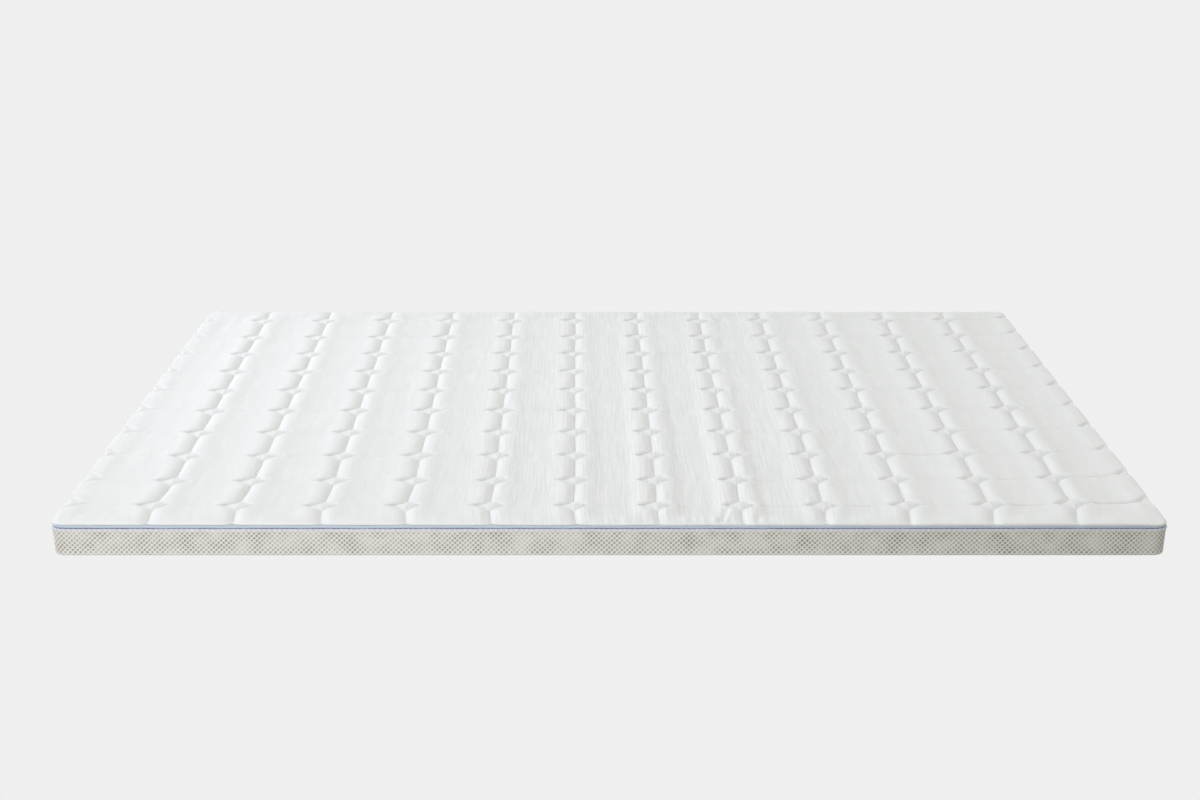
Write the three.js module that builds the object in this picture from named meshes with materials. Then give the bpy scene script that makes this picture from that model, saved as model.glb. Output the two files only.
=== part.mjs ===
import * as THREE from 'three';

// A quilted cover fitted on a thin mattress, lying flat. Lengths are in millimetres: +X runs along the
// long side, +Y away from the front, +Z up, and the origin is the middle of the underside.

// The covered mattress
const LENGTH = 2000;
const WIDTH = 1600;
const CORNER_RADIUS = 25;
const CORNER_STEPS = 6;
const GAP = 0.3;

// The border: a band of spacer mesh that leans in a little and turns under at its lower edge
const BORDER_TOP = 52;
const MESH_THICKNESS = 3;
const BORDER_SET_IN = 0.8;
const BORDER_LEAN = 2;
const TURN_RADIUS = 6;
const TURN_STEPS = 4;

// The piping sewn between the border and the quilted top
const PIPING_RADIUS = 3.2;
const PIPING_SIDES = 8;

// The quilting, flat: columns and rows of stitches, with a small four-pointed diamond at each crossing
const COLUMNS = 12;
const COLUMN_PITCH = 153.25;
const MIDDLE_COLUMN = 6.2;
const ROWS = 10;
const ROW_PITCH = 156.8;
const FIRST_ROW = 100;
const DIAMOND_REACH = 26;
const DIAMOND_WAIST = 17;
const DIAMOND_RISE = 3.5;

// How the made-up panel lies: its pattern is a little askew, and its rows sweep back at the sides
const COLUMN_SLANT = 0.0108;
const COLUMN_SPREAD = 7.5e-6;
const ROW_SLANT = 0.0085;
const ROW_SAG = 5;
const LEFT_SWEEP_FRONT = 45;
const LEFT_SWEEP_BACK = 11;
const LEFT_SWEEP_POWER = 1.5;
const RIGHT_SWEEP = 50;
const RIGHT_SWEEP_FROM = 600;
const RIGHT_SWEEP_POWER = 3.4;
const SIDE_FADE = 150;
const SLANT_FADE = 250;
const SWEEP_FADE = 120;

// Its relief: the wadding swells beside each stitch line and lies flatter in the middle of a pad
const GROOVE_HEIGHT = 55.5;
const SWELL = 8;
const MIDDLE_LOFT = 3.4;
const CREST_DISTANCE = 22;
const SWELL_DISTANCE = 56;
const ROW_HOLD = 1.2;
const ROW_CREST_DISTANCE = 14;
const PAD_RINGS = [0.71, 0.29];

// Its edge, rolled over the piping, and how far the ends of the stitch lines pull it down
const ROLL = [
  { inset: 0.9, height: 60.6, dip: 0.9 },
  { inset: 7, height: 62, dip: 3 },
];

// Where each layer starts, worked out from the sizes above
const pipingHeight = BORDER_TOP + GAP + PIPING_RADIUS;
const pipingTop = pipingHeight + PIPING_RADIUS;
const panelInset = 2 * PIPING_RADIUS + GAP;
const panelUnderside = BORDER_TOP + GAP;
const turnInset = BORDER_SET_IN + BORDER_LEAN;
const baseInset = turnInset + TURN_RADIUS + GAP;

const point = (x, y, z) => new THREE.Vector3(x, y, z);

// Corner 0 is the front left one, and they run anticlockwise as seen from above
function cornerArc(corner, inset, z) {
  const radius = CORNER_RADIUS - inset;
  const sideX = corner === 0 || corner === 3 ? -1 : 1;
  const sideY = corner < 2 ? -1 : 1;
  const arc = [];
  for (let step = 0; step <= CORNER_STEPS; step++) {
    const angle = Math.PI * (1 + (corner + step / CORNER_STEPS) / 2);
    arc.push(point(
      sideX * (LENGTH / 2 - CORNER_RADIUS) + radius * Math.cos(angle),
      sideY * (WIDTH / 2 - CORNER_RADIUS) + radius * Math.sin(angle),
      z,
    ));
  }
  return arc;
}

// The plan outline, a set distance in from the edge of the piping
function outline(inset, z) {
  return [0, 1, 2, 3].flatMap((corner) => cornerArc(corner, inset, z));
}

// Triangles between two loops of the same number of points, the second one above or outside the first
function bridge(lower, upper) {
  return lower.flatMap((start, i) => {
    const next = (i + 1) % lower.length;
    return [[start, lower[next], upper[next]], [start, upper[next], upper[i]]];
  });
}

function fan(loop, middle) {
  return loop.map((start, i) => [start, loop[(i + 1) % loop.length], middle]);
}

const turnedOver = (triangles) => triangles.map(([a, b, c]) => [c, b, a]);

// A closed profile of { inset, z } carried all the way round the edge
function edgeBand(profile) {
  const loops = profile.map(({ inset, z }) => outline(inset, z));
  return loops.flatMap((loop, i) => bridge(loop, loops[(i + 1) % loops.length]));
}

// A flat slab whose side follows the profile of { inset, z } from its underside to its top
function slab(profile) {
  const loops = profile.map(({ inset, z }) => outline(inset, z));
  const lowest = loops[0];
  const highest = loops[loops.length - 1];
  const side = loops.slice(1).flatMap((loop, i) => bridge(loops[i], loop));
  const underside = turnedOver(fan(lowest, point(0, 0, lowest[0].z)));
  return [...underside, ...side, ...fan(highest, point(0, 0, highest[0].z))];
}

// A quarter turn from the underside up to the side, a set distance inside the border's outer face
function lowerTurn(depth) {
  const radius = TURN_RADIUS - depth;
  const turn = [];
  for (let step = 0; step <= TURN_STEPS; step++) {
    const angle = (Math.PI / 2) * (step / TURN_STEPS);
    turn.push({
      inset: turnInset + TURN_RADIUS - radius * Math.sin(angle),
      z: TURN_RADIUS - radius * Math.cos(angle),
    });
  }
  return turn;
}

function borderBand() {
  const outer = [...lowerTurn(0), { inset: BORDER_SET_IN, z: BORDER_TOP }];
  const inner = [...lowerTurn(MESH_THICKNESS), { inset: BORDER_SET_IN + MESH_THICKNESS, z: BORDER_TOP }];
  return edgeBand([...outer, ...inner.reverse()]);
}

function pipingRing() {
  const profile = [];
  for (let side = 0; side < PIPING_SIDES; side++) {
    const angle = (2 * Math.PI * side) / PIPING_SIDES;
    profile.push({
      inset: PIPING_RADIUS * (1 - Math.cos(angle)),
      z: pipingHeight + PIPING_RADIUS * Math.sin(angle),
    });
  }
  return edgeBand(profile);
}

function basePanel() {
  return slab([{ inset: baseInset, z: 0 }, { inset: baseInset, z: MESH_THICKNESS }]);
}

// The mattress fills the cover, so its side follows the inside of the border
function mattressSlab() {
  const clear = MESH_THICKNESS + GAP;
  return slab([...lowerTurn(clear), { inset: BORDER_SET_IN + clear, z: BORDER_TOP }]);
}

// Columns 1 to COLUMNS and rows 1 to ROWS cross in diamonds; the numbers past them stand for the seam
const columnX = (column) => MIDDLE_COLUMN + (column - (COLUMNS + 1) / 2) * COLUMN_PITCH;
const rowY = (row) => -WIDTH / 2 + FIRST_ROW + (row - 1) * ROW_PITCH;
const isColumn = (column) => column >= 1 && column <= COLUMNS;
const isRow = (row) => row >= 1 && row <= ROWS;
const fadeIn = (distance, fade) => THREE.MathUtils.smoothstep(distance, 0, fade);
const share = (value, from, to) => THREE.MathUtils.clamp((value - from) / (to - from), 0, 1);

// Where a point of the flat panel lies in the made-up cover. The seams stay in place
function laid({ x, y, z }) {
  const toSide = LENGTH / 2 - Math.abs(x);
  const toEnd = WIDTH / 2 - Math.abs(y) - CORNER_RADIUS;
  const across = (COLUMN_SPREAD * x - COLUMN_SLANT) * y * fadeIn(toSide, SIDE_FADE);
  const back = (ROW_SLANT * x - ROW_SAG) * fadeIn(toEnd, SLANT_FADE);
  const leftMost = THREE.MathUtils.lerp(LEFT_SWEEP_FRONT, LEFT_SWEEP_BACK, share(y, -WIDTH / 2, WIDTH / 2));
  const left = leftMost * share(x, columnX(1), -LENGTH / 2) ** LEFT_SWEEP_POWER;
  const right = RIGHT_SWEEP * share(x, RIGHT_SWEEP_FROM, LENGTH / 2) ** RIGHT_SWEEP_POWER;
  return point(x + across, y + back + (left + right) * fadeIn(toEnd, SWEEP_FADE), z);
}

// Distance along one axis from the nearest of evenly spaced lines
function fromNearest(value, lineAt, count) {
  const pitch = lineAt(2) - lineAt(1);
  const line = THREE.MathUtils.clamp(Math.round((value - lineAt(1)) / pitch) + 1, 1, count);
  return Math.abs(value - lineAt(line));
}

// How hard a stitch line holds the cloth down: 1 on the line, and 0 from the crest of the swell on
const held = (distance, crestDistance) => Math.max(0, 1 - distance / crestDistance) ** 2;

// Height of the relief: the straight line through a diamond's tips stands for its hollow side
function reliefHeight(x, y) {
  const across = fromNearest(x, columnX, COLUMNS);
  const along = fromNearest(y, rowY, ROWS);
  const toDiamond = (across + along - DIAMOND_REACH) * Math.SQRT1_2;
  const toSeam = Math.min(LENGTH / 2 - Math.abs(x), WIDTH / 2 - Math.abs(y));
  const toLine = Math.max(0, Math.min(across, toDiamond));
  const swollen = 1 - THREE.MathUtils.smoothstep(Math.min(toLine, toSeam), CREST_DISTANCE, SWELL_DISTANCE);
  const loft = THREE.MathUtils.lerp(MIDDLE_LOFT, SWELL, swollen) - SWELL * held(toLine, CREST_DISTANCE);
  return GROOVE_HEIGHT + Math.max(0, loft - ROW_HOLD * held(along, ROW_CREST_DISTANCE));
}

// The eight points round a diamond, anticlockwise from its right tip, with hollow sides
function diamondPoint(column, row, index) {
  const reach = index % 2 ? DIAMOND_WAIST : DIAMOND_REACH;
  const angle = (index * Math.PI) / 4;
  return point(
    columnX(column) + reach * Math.cos(angle),
    rowY(row) + reach * Math.sin(angle),
    GROOVE_HEIGHT,
  );
}

// Where a line meets a loop of the rolled edge, and the loop's crest half way to the next line
const columnEnd = (column, side, { inset, height, dip }) =>
  point(columnX(column), side * (WIDTH / 2 - inset), height - dip);
const rowEnd = (row, side, { inset, height, dip }) =>
  point(side * (LENGTH / 2 - inset), rowY(row), height - dip);
const columnCrest = (column, side, { inset, height }) =>
  point((columnX(column) + columnX(column + 1)) / 2, side * (WIDTH / 2 - inset), height);
const rowCrest = (row, side, { inset, height }) =>
  point(side * (LENGTH / 2 - inset), (rowY(row) + rowY(row + 1)) / 2, height);

const innerRoll = ROLL[ROLL.length - 1];

// What the outline of a pad passes at one of its corners: a diamond's side, a line's end or the seam's arc
function padCorner(column, row, corner) {
  if (isColumn(column) && isRow(row)) {
    return [2, 1, 0].map((index) => diamondPoint(column, row, (index + 2 * corner) % 8));
  }
  if (isColumn(column)) return [columnEnd(column, row < 1 ? -1 : 1, innerRoll)];
  if (isRow(row)) return [rowEnd(row, column < 1 ? -1 : 1, innerRoll)];
  return cornerArc(corner, innerRoll.inset, innerRoll.height);
}

// What it passes between two corners along a row: the row line's middle, or the crest of the edge's roll
function alongRow(column, row) {
  if (!isColumn(column) || !isColumn(column + 1)) return [];
  if (!isRow(row)) return [columnCrest(column, row < 1 ? -1 : 1, innerRoll)];
  const x = (columnX(column) + columnX(column + 1)) / 2;
  return [point(x, rowY(row), reliefHeight(x, rowY(row)))];
}

function alongColumn(column, row) {
  if (isColumn(column) || !isRow(row) || !isRow(row + 1)) return [];
  return [rowCrest(row, column < 1 ? -1 : 1, innerRoll)];
}

function padOutline(column, row) {
  return [
    ...padCorner(column, row, 0),
    ...alongRow(column, row),
    ...padCorner(column + 1, row, 1),
    ...alongColumn(column + 1, row),
    ...padCorner(column + 1, row + 1, 2),
    ...alongRow(column, row + 1),
    ...padCorner(column, row + 1, 3),
    ...alongColumn(column, row),
  ];
}

// One pad: its stitched outline, rings inside it that follow the relief, and its middle
function pad(column, row) {
  const edge = padOutline(column, row);
  const middle = new THREE.Box3().setFromPoints(edge).getCenter(point(0, 0, 0));
  middle.z = reliefHeight(middle.x, middle.y);
  const rings = PAD_RINGS.map((reach) => edge.map((start) => {
    const place = middle.clone().lerp(start, reach);
    place.z = reliefHeight(place.x, place.y);
    return place;
  }));
  const loops = [edge, ...rings];
  const slopes = rings.flatMap((ring, i) => bridge(loops[i], ring));
  return [...slopes, ...fan(rings[rings.length - 1], middle)];
}

function diamond(column, row) {
  const edge = [0, 1, 2, 3, 4, 5, 6, 7].map((index) => diamondPoint(column, row, index));
  return fan(edge, point(columnX(column), rowY(row), GROOVE_HEIGHT + DIAMOND_RISE));
}

const upTo = (count) => Array.from({ length: count }, (_, i) => i + 1);

// A loop of the rolled edge, anticlockwise, through the ends of all the stitch lines and their crests
function rollLoop(loop) {
  const alongFront = (side) => upTo(COLUMNS).flatMap((column) => [
    columnEnd(column, side, loop),
    ...(isColumn(column + 1) ? [columnCrest(column, side, loop)] : []),
  ]);
  const alongSide = (side) => upTo(ROWS).flatMap((row) => [
    rowEnd(row, side, loop),
    ...(isRow(row + 1) ? [rowCrest(row, side, loop)] : []),
  ]);
  const arc = (corner) => cornerArc(corner, loop.inset, loop.height);
  return [
    ...arc(0), ...alongFront(-1), ...arc(1), ...alongSide(1),
    ...arc(2), ...alongFront(1).reverse(), ...arc(3), ...alongSide(-1).reverse(),
  ];
}

// The edge from the underside up: behind the piping, out over it, and round the roll
function rolledEdge() {
  const clear = PIPING_RADIUS + GAP;
  const level = (inset, height) => ({ inset, height, dip: 0 });
  const profile = [
    level(panelInset, panelUnderside),
    level(panelInset, pipingHeight),
    level(PIPING_RADIUS * (1 + Math.SQRT1_2) + GAP, pipingHeight + clear * Math.SQRT1_2 + GAP),
    level(PIPING_RADIUS, pipingTop + GAP),
    ...ROLL,
  ];
  return profile.map(rollLoop);
}

// The quilted top is built flat, as it is cut and stitched, and then laid on the mattress
function quiltedTop() {
  const triangles = [];
  for (let column = 0; column <= COLUMNS; column++) {
    for (let row = 0; row <= ROWS; row++) {
      triangles.push(...pad(column, row));
      if (isColumn(column) && isRow(row)) triangles.push(...diamond(column, row));
    }
  }
  const loops = rolledEdge();
  const edge = loops.slice(1).flatMap((loop, i) => bridge(loops[i], loop));
  const underside = turnedOver(fan(loops[0], point(0, 0, panelUnderside)));
  return [...triangles, ...edge, ...underside].map((corners) => corners.map(laid));
}

function cloth(name, triangles, color, roughness) {
  const geometry = new THREE.BufferGeometry().setFromPoints(triangles.flat());
  geometry.computeVertexNormals();
  const material = new THREE.MeshStandardMaterial({ color, roughness, metalness: 0 });
  const mesh = new THREE.Mesh(geometry, material);
  mesh.name = name;
  return mesh;
}

const cover = new THREE.Group();
cover.add(
  cloth('quilted_top', quiltedTop(), '#eceef0', 0.9),
  cloth('piping', pipingRing(), '#bac7d6', 0.7),
  cloth('mesh_border', borderBand(), '#c6c1b8', 0.85),
  cloth('base_panel', basePanel(), '#e4e2dd', 0.9),
  cloth('mattress', mattressSlab(), '#efe8d4', 0.95),
);

export default cover;
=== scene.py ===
"""A quilted cover fitted on a thin mattress, lying flat.

Metres, with +X along the long side, +Y away from the front and +Z up. The cover is made as it is sewn:
a quilted top with its stitching, a corded piping, a border of spacer mesh with its overlocked edge, and a
base panel, all round a plain foam mattress.
"""

import math
from collections import namedtuple

import bpy
import numpy as np
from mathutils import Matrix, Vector


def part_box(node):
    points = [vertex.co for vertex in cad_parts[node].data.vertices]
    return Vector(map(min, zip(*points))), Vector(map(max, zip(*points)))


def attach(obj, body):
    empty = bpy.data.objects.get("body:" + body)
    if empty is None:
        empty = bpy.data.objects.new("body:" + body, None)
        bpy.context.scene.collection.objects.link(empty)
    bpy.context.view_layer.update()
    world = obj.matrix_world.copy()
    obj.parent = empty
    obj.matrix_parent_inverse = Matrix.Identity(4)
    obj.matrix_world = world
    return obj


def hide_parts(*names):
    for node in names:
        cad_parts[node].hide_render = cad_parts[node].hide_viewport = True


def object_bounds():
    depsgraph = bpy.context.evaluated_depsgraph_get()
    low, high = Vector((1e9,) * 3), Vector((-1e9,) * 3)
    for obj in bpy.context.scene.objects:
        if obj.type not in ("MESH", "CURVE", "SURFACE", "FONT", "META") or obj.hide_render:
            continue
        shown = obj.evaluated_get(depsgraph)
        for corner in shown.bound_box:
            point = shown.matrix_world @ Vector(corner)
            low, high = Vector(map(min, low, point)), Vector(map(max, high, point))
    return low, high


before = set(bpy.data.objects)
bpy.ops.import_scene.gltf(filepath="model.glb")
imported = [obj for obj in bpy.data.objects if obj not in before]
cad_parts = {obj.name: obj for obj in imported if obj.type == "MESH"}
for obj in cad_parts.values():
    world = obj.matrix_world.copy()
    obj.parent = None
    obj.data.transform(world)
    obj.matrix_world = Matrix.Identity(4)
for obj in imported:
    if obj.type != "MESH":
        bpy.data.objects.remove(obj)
cad_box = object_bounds()

MM = 0.001
TINY = 1e-9

# The plan, from the frame
LENGTH = cad_box[1].x - cad_box[0].x
WIDTH = cad_box[1].y - cad_box[0].y
CORNER_RADIUS = 25 * MM
EDGE_LENGTH = 2 * (LENGTH + WIDTH - 4 * CORNER_RADIUS) + 2 * math.pi * CORNER_RADIUS
PANEL_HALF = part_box("quilted_top")[1]
PANEL_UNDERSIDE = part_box("quilted_top")[0].z
PANEL_SET_IN = LENGTH / 2 - PANEL_HALF.x
BORDER_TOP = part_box("mesh_border")[1].z
PIPING_LOW, PIPING_TOP = (corner.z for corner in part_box("piping"))
PIPING_HEIGHT = (PIPING_LOW + PIPING_TOP) / 2
PIPING_RADIUS = (PIPING_TOP - PIPING_LOW) / 2

# The quilting on the flat cut: columns and rows of stitches that cross in diamonds
COLUMNS = 12
COLUMN_PITCH = 153.25 * MM
MIDDLE_COLUMN = 6.2 * MM
ROWS = 10
ROW_PITCH = 156.8 * MM
FIRST_ROW = 100 * MM
column_x = MIDDLE_COLUMN + COLUMN_PITCH * (np.arange(COLUMNS) - (COLUMNS - 1) / 2)
row_y = -WIDTH / 2 + FIRST_ROW + ROW_PITCH * np.arange(ROWS)

# A further diamond past each end column, cut in half by the side seam
CUT_DIAMOND_SHIFT = 3 * MM
to_cut_diamond = COLUMN_PITCH + CUT_DIAMOND_SHIFT
diamond_x = np.concatenate([[column_x[0] - to_cut_diamond], column_x, [column_x[-1] + to_cut_diamond]])

# How the made-up panel lies. A pair is a fade: the place where it starts, and the distance that it takes
COLUMN_SLANT = 0.0108
COLUMN_SPREAD = 0.0075
ROW_SLANT = 0.0085
ROW_SAG = 5 * MM
SLANT_FADE = 250 * MM
SIDE_FADE = 150 * MM
EVEN_MARGIN = 40 * MM

# Its rows sweep back at the sides
LEFT_SWEEP_FRONT = 27 * MM
LEFT_SWEEP_BACK = 4 * MM
LEFT_SWEEP_POWER = 1.5
RIGHT_SWEEP = 36 * MM
RIGHT_SWEEP_FROM = 600 * MM
RIGHT_SWEEP_POWER = 3.4
SWEEP_FADE = 120 * MM

# Its front strip is drawn in and shifted to the right, and its first rows lie further back
FRONT_DRAW_LEFT = 0.01
FRONT_DRAW_RIGHT = 0.024
FRONT_SHIFT = 10 * MM
SHIFT_RIGHT_FADE = (-900 * MM, 500 * MM)
FRONT_LIFT = 6 * MM
FRONT_LIFT_STRIPS = 2.5
LEFT_LIFT = 5 * MM
LIFT_LEFT_FADE = (600 * MM, 250 * MM)

# A diamond: half its length, how hollow its sides are (1 is straight), and its dome
DIAMOND_REACH = 26 * MM
DIAMOND_HOLLOW = 0.98
DIAMOND_RISE = 7.6 * MM
DOME_POWER = 0.62
DIAMOND_ROUNDING = 0.22

# Its stitched outline lies over the level of the grooves, and the pads rise from it more steeply
DIAMOND_LIFT = 2.2 * MM
LIFT_FADE = (0.7 * DIAMOND_REACH, 18 * MM)
DIAMOND_STEEPNESS = 2.6
GROOVE_JOIN_POWER = 4

# The relief: the wadding swells beside each stitch line and lies flatter in the middle of a pad
GROOVE_HEIGHT = 55.5 * MM
SWELL = 7.2 * MM
CREST_DISTANCE = 22 * MM
MIDDLE_DISTANCE = 54 * MM
RISE_POWER = 2.4
MIDDLE_SHARE = 0.55

# To the right of the middle and towards the front it is slack, so the pads are flatter still
SLACK_SHARE = 0.35
SLACK_PLACE = 160 * MM
SLACK_HALF_WIDTH = 260 * MM
SLACK_FRONT_FADE = (-300 * MM, 700 * MM)

# How hard the row lines pull the cloth down between the diamonds: more to the right and the front
ROW_HOLD = 0.05
ROW_HOLD_RIGHT = 0.1
HOLD_SHARE_AT_BACK = 0.4
HOLD_RIGHT_FADE = (-200 * MM, 700 * MM)
HOLD_FRONT_FADE = (150 * MM, 500 * MM)
TIP_HOLD = 3.5 * MM
ROW_REACH = 12 * MM
ROW_POWER = 2.5
SIDE_ROW_REACH = 17 * MM
SIDE_HOLD = 40 * MM
TIGHT_FADE = 25 * MM

# Stretches of the front rows that are pulled tight: from and to along X in millimetres, and how hard
Tight = namedtuple("Tight", "row start end hold")
TIGHT_ROWS = [
    Tight(0, 868, 1030, 0.75),
    Tight(0, 716, 810, 0.66),
    Tight(0, 425, 505, 0.5),
    Tight(0, 262, 365, 0.7),
    Tight(1, 255, 350, 0.6),
    Tight(1, 735, 800, 0.36),
    Tight(1, 905, 1030, 0.4),
    Tight(2, 570, 680, 0.5),
]

# The rolled edge: how far in it starts, its outermost height, how far the ends of the lines pull it in and
# down, and how the cloth is drawn up to it
ROLL_REACH = 13 * MM
RIM_HEIGHT = 61.2 * MM
RIM_NOTCH_IN = 3.6 * MM
RIM_NOTCH_DOWN = 2.6 * MM
NOTCH_REACH = 3 * ROLL_REACH
COLUMN_NOTCH_WIDTH = 8 * MM
ROW_NOTCH_WIDTH = 14 * MM
DRAWN_UP_REACH = 3.5 * ROLL_REACH
DRAWN_UP_RISE = 0.6 * MM

# The right front corner lies lower
CORNER_FALL = 1.8 * MM
CORNER_RIGHT_FADE = (920 * MM, 70 * MM)
CORNER_FRONT_FADE = (725 * MM, 60 * MM)

# How far the rolled edge hangs over the piping along the front
LIP_FADE = 60 * MM
LIP_DROOP = 1.7 * MM
LIP_LEFT_RISE = 0.35 * MM
LIP_LIMITS = (-0.6 * MM, 2.2 * MM)
DROOP_RIGHT_FADE = (-250 * MM, 1100 * MM)
LIP_WAVES_FADE = (-400 * MM, 400 * MM)
CORNER_DROOP = 1.6 * MM
CORNER_DROOP_FADE = (950 * MM, 40 * MM)

# Fine puckers: how far they reach from the stitches, and their breadth as a share of their length
ROW_PUCKER_REACH = 14 * MM
ROW_PUCKER_BREADTH = 0.3
SEAM_PUCKER_REACH = 16 * MM
END_PUCKER_BREADTH = 0.35
END_RIGHT_FADE = (880 * MM, 60 * MM)
END_FRONT_FADE = (560 * MM, 80 * MM)

# Gathers along the front seam, in millimetres. Their reach is back from the seam, and their slant along X
GATHER_START = 8 * MM
Gather = namedtuple("Gather", "place half_width reach depth slant")
GATHERS = [Gather(*row) for row in (
    (8, 5, 55, 1.5, 0.02),
    (30, 4, 48, 1.2, 0.03),
    (52, 5, 75, 2.1, 0.04),
    (66, 3.5, 60, 1.35, 0.05),
    (108, 5, 110, 2.7, 0.03),
    (122, 4, 130, 2.25, 0.05),
    (141, 5, 140, 3.3, 0.06),
    (157, 4, 105, 2.4, 0.08),
    (171, 4, 125, 3.0, 0.10),
    (194, 5.5, 100, 6.3, 0.20),
    (211, 4, 66, 2.4, 0.16),
    (224, 4, 60, 2.25, 0.10),
    (262, 5, 65, 2.85, 0.12),
    (284, 6, 84, 2.25, 0.08),
    (315, 5, 52, 1.5, 0.05),
    (346, 6, 60, 1.8, 0.05),
    (430, 6, 50, 1.35, 0.04),
    (590, 6, 60, 1.5, 0.10),
    (-28, 5, 60, 1.35, 0.02),
    (-125, 6, 60, 1.2, -0.03),
)]

# Unevenness of the cloth: the most of it, how broad its hills are, and the seed of its draws
Hills = namedtuple("Hills", "most size seed")
UNEVENNESS = {
    "columns": Hills(1.2 * MM, 150 * MM, 11),
    "rows": Hills(1.6 * MM, 170 * MM, 12),
    "pads": Hills(0.35 * MM, COLUMN_PITCH, 21),
    "row_puckers": Hills(0.35 * MM, 7 * MM, 22),
    "seam_puckers": Hills(0.5 * MM, 11 * MM, 23),
    "loose_cloth": Hills(0.45 * MM, 60 * MM, 24),
    "end_puckers": Hills(0.45 * MM, 9 * MM, 25),
    "border": Hills(0.5 * MM, 130 * MM, 31),
    "lip": Hills(0.45 * MM, 45 * MM, 41),
}
WAVES = 7
WAVE_LENGTHS = (1.4, 3.0)
WAVES_IN_STEP = 4


def uneven(kind, x, y):
    """Smooth unevenness at some places, a sum of waves with random headings."""
    hills = UNEVENNESS[kind]
    draws = np.random.default_rng(hills.seed)
    total = np.zeros(np.broadcast(x, y).shape)
    for _ in range(WAVES):
        heading = draws.uniform(0, math.pi)
        length = hills.size * draws.uniform(*WAVE_LENGTHS)
        phase = draws.uniform(0, 2 * math.pi)
        along = x * math.cos(heading) + y * math.sin(heading)
        total += np.sin(2 * math.pi * along / length + phase)
    return hills.most * total / WAVES_IN_STEP


def smooth_step(value):
    """0 below 0, 1 above 1, and an easy S between."""
    t = np.clip(value, 0, 1)
    return t * t * (3 - 2 * t)


def fade(value, start, distance):
    """0 up to start, 1 from a distance past it on, and an easy S between."""
    return smooth_step((value - start) / distance)


# Meshes


def unit(vectors):
    """The same headings with a length of 1. One without any length stays so."""
    return vectors / (np.linalg.norm(vectors, axis=-1, keepdims=True) + TINY)


def round_about(angles, out, across):
    """The ways from a path's points to a ring of points round each, at angles from the way out."""
    return np.cos(angles)[:, None] * out[:, None] + np.sin(angles)[:, None] * across[:, None]


def grid_faces(rows, columns, wrap_rows=False, wrap_columns=False, first=0):
    """Quads between neighbours of a rows by columns array of points, numbered from first."""
    i = np.arange(rows if wrap_rows else rows - 1)[:, None]
    j = np.arange(columns if wrap_columns else columns - 1)[None, :]
    next_i = (i + 1) % rows
    next_j = (j + 1) % columns
    corners = [i * columns + j, next_i * columns + j, next_i * columns + next_j, i * columns + next_j]
    return first + np.stack([np.broadcast_to(c, (i.size, j.size)) for c in corners], -1).reshape(-1, 4)


def new_object(name, data):
    """An object in the scene."""
    made = bpy.data.objects.new(name, data)
    bpy.context.scene.collection.objects.link(made)
    return made


def whole_numbers(items, name):
    """A whole number that each item holds."""
    values = np.zeros(len(items), int)
    items.foreach_get(name, values)
    return values


def make_piece(name, points, faces, material, uv=None, uv_turn=None, hollow=None):
    """A smooth mesh on the part's one body.

    For each point, uv holds its place on the cloth, which starts anew after a uv_turn where the cloth goes
    round, and hollow holds how hollow the cloth is.
    """
    mesh = bpy.data.meshes.new(name)
    mesh.from_pydata(np.asarray(points).reshape(-1, 3).tolist(), [], faces)
    mesh.update()
    mesh.shade_smooth()
    if uv is not None:
        places = np.asarray(uv).reshape(-1, 2)[whole_numbers(mesh.loops, "vertex_index")]
        if uv_turn:
            starts, sizes = (whole_numbers(mesh.polygons, name) for name in ("loop_start", "loop_total"))
            furthest = np.repeat(np.maximum.reduceat(places[:, 0], starts), sizes)
            places[:, 0] += np.where(furthest - places[:, 0] > uv_turn / 2, uv_turn, 0)
        mesh.uv_layers.new(name="Cloth").data.foreach_set("uv", places.ravel())
    if hollow is not None:
        mesh.attributes.new("hollow", "FLOAT", "POINT").data.foreach_set("value", hollow.astype(np.float32))
    mesh.materials.append(material)
    made = new_object(name, mesh)
    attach(made, "root")
    return made


# The edge of the cover


def edge_places(along):
    """Points on the plan outline and the way out from it, for distances along it from the front left."""
    side_x = LENGTH - 2 * CORNER_RADIUS
    side_y = WIDTH - 2 * CORNER_RADIUS
    quarter = CORNER_RADIUS * math.pi / 2
    legs = np.array([side_x, quarter, side_y, quarter] * 2)
    starts = np.concatenate([[0], np.cumsum(legs)[:-1]])
    centres = np.array([[1, -1], [1, 1], [-1, 1], [-1, -1]]) * [side_x / 2, side_y / 2]
    leg = np.searchsorted(starts, along, side="right") - 1
    turns = leg // 2
    into = along - starts[leg]
    on_arc = leg % 2 == 1
    angle = (turns - 1) * math.pi / 2 + np.where(on_arc, into / CORNER_RADIUS, 0)
    out = np.stack([np.cos(angle), np.sin(angle)], -1)
    onward = np.stack([-np.sin(angle), np.cos(angle)], -1)
    centre = np.where(on_arc[:, None], centres[turns], centres[turns - 1])
    place = centre + CORNER_RADIUS * out + onward * np.where(on_arc, 0, into)[:, None]
    return place, out


def around(along, inset, height):
    """Points round the edge: a row for each place along it, a column for each inset and height."""
    place, out = edge_places(along)
    inset, height = np.broadcast_arrays(inset, height)
    inset, height = (np.broadcast_to(a, (len(along), a.shape[-1])) for a in (inset, height))
    flat = place[:, None, :] - inset[..., None] * out[:, None, :]
    return np.concatenate([flat, height[..., None]], -1)


def even_stations(count):
    """Distances along the plan outline, evenly spaced."""
    return EDGE_LENGTH * np.arange(count) / count


def slab(name, profile, material):
    """A slab whose side follows (inset, height) from its underside to its top."""
    inset, height = np.array(profile).T
    points = around(even_stations(SLAB_STATIONS), inset, height)
    rings = len(profile)
    faces = grid_faces(SLAB_STATIONS, rings, wrap_rows=True).tolist()
    underside = [i * rings for i in range(SLAB_STATIONS)][::-1]
    top = [i * rings + rings - 1 for i in range(SLAB_STATIONS)]
    return make_piece(name, points, faces + [underside, top], material)


# The quilted top


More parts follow.
